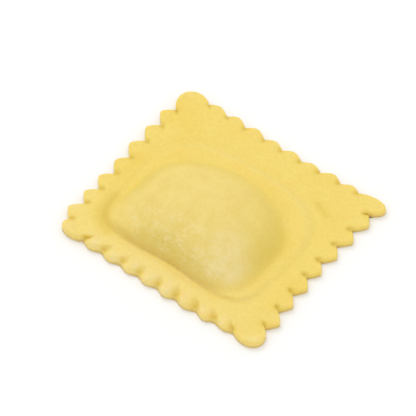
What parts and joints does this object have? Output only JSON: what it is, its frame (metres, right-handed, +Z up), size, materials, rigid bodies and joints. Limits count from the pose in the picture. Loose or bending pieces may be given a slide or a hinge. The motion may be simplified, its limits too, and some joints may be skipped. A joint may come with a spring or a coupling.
{
  "type": "ravioli",
  "caption": "Fluted square of stuffed fresh egg pasta: a plump domed pillow inside a flat pressed rim cut with a fluted wheel, uncooked and whole.",
  "frame": {"origin": "middle of the flat underside, on the surface that the pasta lies on", "axes": "+X along the long side of the cut, +Y across it towards the back, +Z up"},
  "size_m": [0.0534, 0.0468, 0.0102],
  "materials": {
    "egg_dough": "fresh egg pasta dough, dull and slightly translucent, warm pale yellow"
  },
  "bodies": {
    "root": {"ravioli": "egg_dough"}
  },
  "joints": []
}
